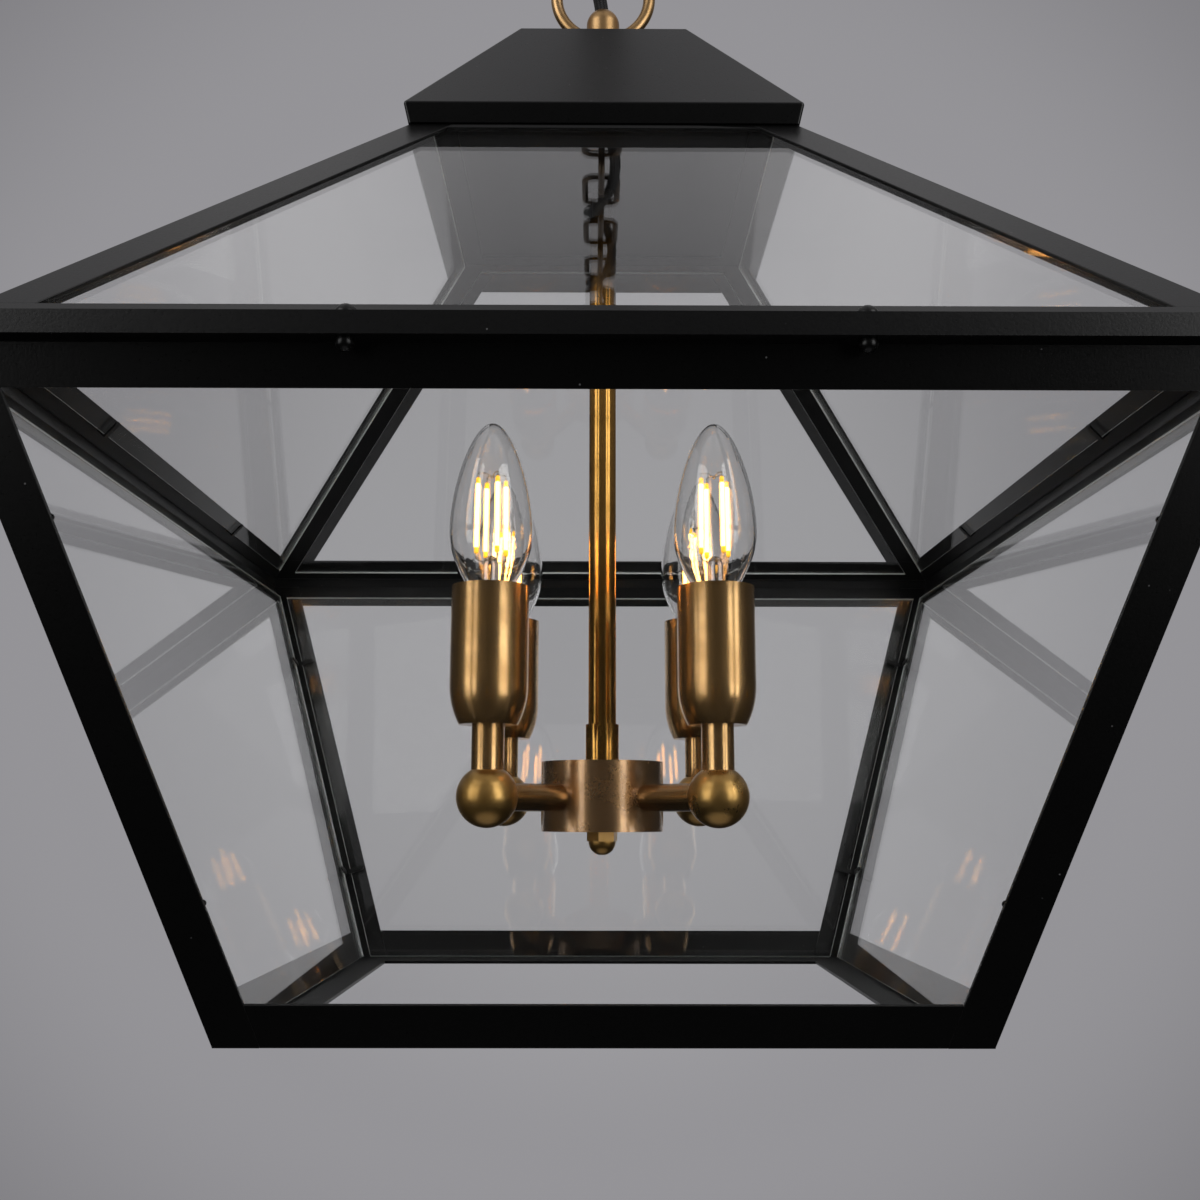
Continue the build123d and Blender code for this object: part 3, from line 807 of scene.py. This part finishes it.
def dress_nodes():
    """Every CAD node's finish."""
    folded = ["cage_posts", "cage_bottom_rails", "roof_hips", "roof_top_rails", "top_plate"]
    for name in folded + ["cage_top_rails", "roof_eave_rails", "roof_cap", "ceiling_plate"]:
        dress_sheet(name)
    soften(*folded)
    for level in ("cage", "roof"):
        for side in ("front", "right", "back", "left"):
            dress_pane(f"{level}_glass_{side}")
    dress(black, "glass_clips", "eave_screws", "eave_nuts")
    dress(cast_brass, "hanging_loop", "ceiling_loop")
    dress(ball_brass, "elbow_balls", "hub_cap_nut")
    dress(brass, "lamp_arms", "lamp_stems", "lamp_covers")
    dress(rod_brass, "stem_rod", "rod_collar")
    dress(bronze, "lamp_hub", "hub_cover")
    dress(dark_zinc, "threaded_nipples", "lock_nuts", "ceiling_nipple")
    dress(holder, "lampholders")
    for number in range(link_count):
        dress(chain_bronze, f"chain_link_{number + 1}")
    for number in range(bulb_count):
        dress(bulb_glass, f"bulb_glass_{number + 1}")


def add_floor():
    """Pale floor far below, fading out into the backdrop. Mirrored rays pass it into the dim room."""
    shape = bmesh.new()
    place = Matrix.Translation(upward(floor_height))
    bmesh.ops.create_circle(
        shape, cap_ends=True, segments=floor_sides, radius=floor_radius, matrix=place
    )
    finish = new_finish("pale_floor")
    paint = finish.principled({"Base Color": colour((0.55, 0.55, 0.56)), "Roughness": 0.9})
    clear = finish.node("ShaderNodeBsdfTransparent", {}, {})
    sockets = {0: finish.place(), 1: (1, 1, 0)}
    flat = finish.node("ShaderNodeVectorMath", {"operation": "MULTIPLY"}, sockets)
    reach = finish.node("ShaderNodeVectorMath", {"operation": "LENGTH"}, {0: flat}, "Value")
    edge = finish.fade(reach, *floor_fade)
    mirrored = finish.ray("Glossy Depth").work("GREATER_THAN", 0.5)
    finish.show(finish.blend(edge.work("MAXIMUM", mirrored), paint, clear))
    new_piece("floor", shape, finish.owner)


def add_softbox(name, azimuth, width, power):
    """Upright softbox that faces the lamp cluster; azimuth 0 is the camera's side."""
    light = bpy.data.lights.new(name, "AREA")
    light.shape = "RECTANGLE"
    light.size = width
    light.size_y = softbox_height
    light.energy = power
    box = bpy.data.objects.new(name, light)
    level = math.cos(softbox_elevation)
    rise = math.sin(softbox_elevation)
    toward = Vector((math.sin(azimuth) * level, -math.cos(azimuth) * level, rise))
    box.location = lamp_middle + toward * softbox_distance
    box.rotation_mode = "QUATERNION"
    box.rotation_quaternion = (-toward).to_track_quat("-Z", "Y")
    box.visible_camera = False
    scene.collection.objects.link(box)


def backdrop_colour(studio, ahead):
    """Grey backdrop with a pool of light on it, as seen directly or through glass."""
    pool = studio.mix(studio.fade(ahead, 0.78, 0.91), (0.200, 0.196, 0.209), (0.298, 0.293, 0.310))
    return studio.mix(studio.fade(ahead, 0.91, 0.99), pool, (0.370, 0.365, 0.380))


def room_colour(studio, direction, ahead):
    """The dim room that mirrored rays meet, pale behind, overhead and below."""
    above = studio.axis(direction, "Z")
    sideways = studio.axis(direction, "X").work("ABSOLUTE")
    behind = studio.fade(ahead, 0.72, 0.95) * studio.fade(above, -0.55, 0.0)
    overhead = 0.45 * studio.fade(above, 0.08, 0.45) + 0.55 * studio.fade(above, 0.50, 0.95)
    below = 0.7 * studio.fade(above, -0.80, -0.95)
    lit = behind.work("MAXIMUM", overhead).work("MAXIMUM", below)
    room = studio.mix(lit, (0.008, 0.008, 0.008), (0.42, 0.415, 0.43))
    flanks = studio.fade(sideways, 0.06, 0.24) - 0.7 * studio.fade(sideways, 0.26, 0.36)
    return studio.mix(flanks * studio.fade(above, 0.75, 0.90), room, (0.70, 0.69, 0.70))


def add_studio():
    """Backdrop for what is seen, a room for what is mirrored, and soft light all round."""
    scene.world = bpy.data.worlds.new("studio")
    studio = Finish(scene.world)
    direction = studio.place("Generated")
    dot = {"operation": "DOT_PRODUCT"}
    ahead = studio.node("ShaderNodeVectorMath", dot, {0: direction, 1: pool_direction}, "Value")
    backdrop = backdrop_colour(studio, ahead)
    room = room_colour(studio, direction, ahead)
    seen = studio.mix(studio.ray("Glossy Depth").work("GREATER_THAN", 0.5), backdrop, room)
    shown = studio.node("ShaderNodeBackground", {}, {"Color": seen})
    soft = studio.node("ShaderNodeBackground", {}, {"Color": colour((0.50, 0.50, 0.51))})
    shows = studio.ray("Is Camera Ray").work("MAXIMUM", studio.ray("Is Glossy Ray"))
    shows = shows.work("MAXIMUM", studio.ray("Is Transmission Ray"))
    studio.show(studio.blend(shows, soft, shown), "ShaderNodeOutputWorld")
    for name, (azimuth, width, power) in softbox_sides.items():
        add_softbox(name, math.radians(azimuth), width, power)


def add_camera():
    """Camera at the photo's angle."""
    level = math.cos(eye_pitch)
    forward = Vector((math.sin(eye_yaw) * level, math.cos(eye_yaw) * level, math.sin(eye_pitch)))
    right = Vector((math.cos(eye_yaw), -math.sin(eye_yaw), 0))
    up = right.cross(forward)
    rolled_right = math.cos(eye_roll) * right + math.sin(eye_roll) * up
    rolled_up = math.cos(eye_roll) * up - math.sin(eye_roll) * right
    lens = bpy.data.cameras.new("camera")
    lens.sensor_width = film_width
    lens.lens = lens_length
    lens.clip_start = nearest_seen
    camera = bpy.data.objects.new("camera", lens)
    turn = Matrix((rolled_right, rolled_up, -forward)).transposed().to_4x4()
    camera.matrix_world = Matrix.Translation(eye) @ turn
    scene.collection.objects.link(camera)
    scene.camera = camera


scene.view_settings.view_transform = "Standard"
dress_nodes()
make_flex()
make_bulbs()
add_floor()
add_studio()
add_camera()
